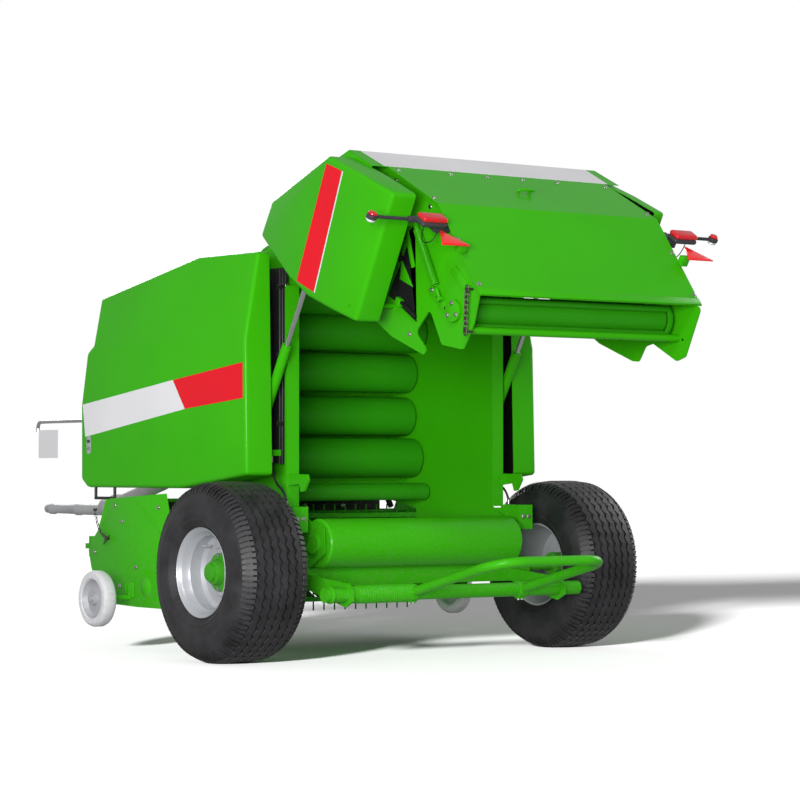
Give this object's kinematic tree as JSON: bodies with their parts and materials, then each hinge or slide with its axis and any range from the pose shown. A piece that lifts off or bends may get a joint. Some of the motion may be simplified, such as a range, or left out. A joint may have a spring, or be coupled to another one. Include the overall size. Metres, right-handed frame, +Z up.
{
  "type": "fixed-chamber round baler",
  "caption": "Trailed round baler with a raised tailgate: roller chamber, tined pickup, side guards, wheels, drawbar, drive shaft and bale kicker.",
  "frame": {"origin": "on the ground, under the middle of the machine as it stands with its tailgate raised", "axes": "+X to the machine's right, +Y forward to the tractor, +Z up"},
  "size_m": [2.482, 5.2864, 2.4457],
  "materials": {
    "green_paint": "gloss paint",
    "dark_green": "gloss paint",
    "tyre": "moulded rubber",
    "rim_paint": "satin silver paint",
    "chrome": "polished",
    "grey_plastic": "satin",
    "steel": "bare steel",
    "lamp": "clear red lens",
    "reflector": "prismatic",
    "black": "satin",
    "cast": "painted casting"
  },
  "bodies": {
    "chassis": {"chamber_wall_left": "green_paint", "chamber_wall_right": "green_paint", "axle": "green_paint", "front_beam": "green_paint", "front_panel": "green_paint", "twine_box": "green_paint", "tongue": "green_paint", "hitch_eye": "cast", "jack": "green_paint", "gearbox": "cast", "shaft_guard": "grey_plastic", "hose_holder": "chrome", "tag_plate": "grey_plastic", "hose_left": "black", "hose_right": "black"},
    "wheel_left": {"tyre_left": "tyre", "rim_left": "rim_paint"},
    "wheel_right": {"tyre_right": "tyre", "rim_right": "rim_paint"},
    "tailgate": {"gate_wall_left": "green_paint", "gate_wall_right": "green_paint", "tail_guard_left": "green_paint", "tail_guard_right": "green_paint", "rear_shell": "green_paint", "gate_tube": "green_paint", "conveyor": "dark_green", "conveyor_shaft": "steel", "sill_roller": "green_paint", "lamps": "lamp", "reflectors": "reflector", "lamp_cable_left": "black", "lamp_cable_right": "black"},
    "barrel_left": {"ram_barrel_left": "green_paint"},
    "barrel_right": {"ram_barrel_right": "green_paint"},
    "rod_left": {"ram_rod_left": "chrome"},
    "rod_right": {"ram_rod_right": "chrome"},
    "side_guard_left": {"guard_left": "green_paint"},
    "side_guard_right": {"guard_right": "green_paint"},
    "pickup": {"pickup_frame": "green_paint", "pickup_strippers": "green_paint"},
    "reel": {"pickup_reel": "dark_green"},
    "gauge_left": {"gauge_wheel_left": "rim_paint"},
    "gauge_right": {"gauge_wheel_right": "rim_paint"},
    "kick_loop": {"kicker": "green_paint"},
    "stand": {"jack_leg": "steel"},
    "chamber_roller_1": {"front_roller_1": "green_paint"},
    "chamber_roller_2": {"front_roller_2": "green_paint"},
    "chamber_roller_3": {"front_roller_3": "green_paint"},
    "chamber_roller_4": {"front_roller_4": "green_paint"},
    "chamber_roller_5": {"front_roller_5": "green_paint"},
    "chamber_roller_6": {"front_roller_6": "green_paint"},
    "chamber_roller_7": {"front_roller_7": "green_paint"},
    "intake_roller": {"starter_roller": "green_paint"},
    "bottom_roller": {"floor_roller": "green_paint"}
  },
  "joints": [
    {"name": "wheel_left_spin", "type": "hinge", "parent": "chassis", "child": "wheel_left", "pos_m": [-1.039, -1.1315, 0.437], "axis": [1, 0, 0], "continuous": true},
    {"name": "wheel_right_spin", "type": "hinge", "parent": "chassis", "child": "wheel_right", "pos_m": [1.039, -1.1315, 0.437], "axis": [1, 0, 0], "continuous": true},
    {"name": "tailgate_swing", "type": "hinge", "parent": "chassis", "child": "tailgate", "pos_m": [0, -1.02181, 2.00473], "axis": [1, 0, 0], "range_deg": [0, 58]},
    {"name": "ram_pivot_left", "type": "hinge", "parent": "chassis", "child": "barrel_left", "pos_m": [-0.724, -0.8815, 1.078], "axis": [1, 0, 0], "range_deg": [-12.7, 0.1]},
    {"name": "ram_stroke_left", "type": "slide", "parent": "barrel_left", "child": "rod_left", "axis": [0, -0.4982, 0.867], "range_m": [-0.28825, 0.0005]},
    {"name": "side_guard_left_swing", "type": "hinge", "parent": "chassis", "child": "side_guard_left", "pos_m": [-0.772, -0.8715, 1.985], "axis": [0, 1, 0], "range_deg": [0, 60]},
    {"name": "gauge_left_spin", "type": "hinge", "parent": "pickup", "child": "gauge_left", "pos_m": [-1.15, -0.0515, 0.272], "axis": [1, 0, 0], "continuous": true},
    {"name": "ram_pivot_right", "type": "hinge", "parent": "chassis", "child": "barrel_right", "pos_m": [0.724, -0.8815, 1.078], "axis": [1, 0, 0], "range_deg": [-12.7, 0.1]},
    {"name": "ram_stroke_right", "type": "slide", "parent": "barrel_right", "child": "rod_right", "axis": [0, -0.4982, 0.867], "range_m": [-0.28825, 0.0005]},
    {"name": "side_guard_right_swing", "type": "hinge", "parent": "chassis", "child": "side_guard_right", "pos_m": [0.772, -0.8715, 1.985], "axis": [0, -1, 0], "range_deg": [0, 60]},
    {"name": "gauge_right_spin", "type": "hinge", "parent": "pickup", "child": "gauge_right", "pos_m": [1.15, -0.0515, 0.272], "axis": [1, 0, 0], "continuous": true},
    {"name": "pickup_lift", "type": "hinge", "parent": "chassis", "child": "pickup", "pos_m": [0, -0.4915, 0.64], "axis": [1, 0, 0], "range_deg": [-11.2, 0]},
    {"name": "reel_spin", "type": "hinge", "parent": "pickup", "child": "reel", "pos_m": [0, -0.1315, 0.46], "axis": [1, 0, 0], "continuous": true},
    {"name": "kicker_swing", "type": "hinge", "parent": "chassis", "child": "kick_loop", "pos_m": [0, -1.5555, 0.332], "axis": [1, 0, 0], "range_deg": [0, 36]},
    {"name": "jack_slide", "type": "slide", "parent": "chassis", "child": "stand", "axis": [0, 0, 1], "range_m": [0, 0.24]},
    {"name": "roller_1_spin", "type": "hinge", "parent": "chassis", "child": "chamber_roller_1", "pos_m": [0, -1.02181, 2.00473], "axis": [1, 0, 0], "continuous": true},
    {"name": "roller_2_spin", "type": "hinge", "parent": "chassis", "child": "chamber_roller_2", "pos_m": [0, -0.79345, 1.95992], "axis": [1, 0, 0], "continuous": true},
    {"name": "roller_3_spin", "type": "hinge", "parent": "chassis", "child": "chamber_roller_3", "pos_m": [0, -0.59212, 1.84321], "axis": [1, 0, 0], "continuous": true},
    {"name": "roller_4_spin", "type": "hinge", "parent": "chassis", "child": "chamber_roller_4", "pos_m": [0, -0.43975, 1.66731], "axis": [1, 0, 0], "continuous": true},
    {"name": "roller_5_spin", "type": "hinge", "parent": "chassis", "child": "chamber_roller_5", "pos_m": [0, -0.35295, 1.45139], "axis": [1, 0, 0], "continuous": true},
    {"name": "roller_6_spin", "type": "hinge", "parent": "chassis", "child": "chamber_roller_6", "pos_m": [0, -0.34117, 1.21897], "axis": [1, 0, 0], "continuous": true},
    {"name": "roller_7_spin", "type": "hinge", "parent": "chassis", "child": "chamber_roller_7", "pos_m": [0, -0.40571, 0.99538], "axis": [1, 0, 0], "continuous": true},
    {"name": "intake_roller_spin", "type": "hinge", "parent": "chassis", "child": "intake_roller", "pos_m": [0, -0.5215, 0.815], "axis": [1, 0, 0], "continuous": true},
    {"name": "bottom_roller_spin", "type": "hinge", "parent": "chassis", "child": "bottom_roller", "pos_m": [0, -1.2315, 0.57], "axis": [1, 0, 0], "continuous": true}
  ],
  "couplings": [
    {"joint": "ram_pivot_left", "follows": "tailgate_swing", "ratio": -0.21717},
    {"joint": "ram_stroke_left", "follows": "tailgate_swing", "m_per_rad": -0.28425},
    {"joint": "ram_pivot_right", "follows": "tailgate_swing", "ratio": -0.21717},
    {"joint": "ram_stroke_right", "follows": "tailgate_swing", "m_per_rad": -0.28425},
    {"joint": "roller_2_spin", "follows": "roller_1_spin", "ratio": 1},
    {"joint": "roller_3_spin", "follows": "roller_1_spin", "ratio": 1},
    {"joint": "roller_4_spin", "follows": "roller_1_spin", "ratio": 1},
    {"joint": "roller_5_spin", "follows": "roller_1_spin", "ratio": 1},
    {"joint": "roller_6_spin", "follows": "roller_1_spin", "ratio": 1},
    {"joint": "roller_7_spin", "follows": "roller_1_spin", "ratio": 1},
    {"joint": "intake_roller_spin", "follows": "roller_1_spin", "ratio": 2.3333},
    {"joint": "bottom_roller_spin", "follows": "roller_1_spin", "ratio": 0.8642}
  ]
}
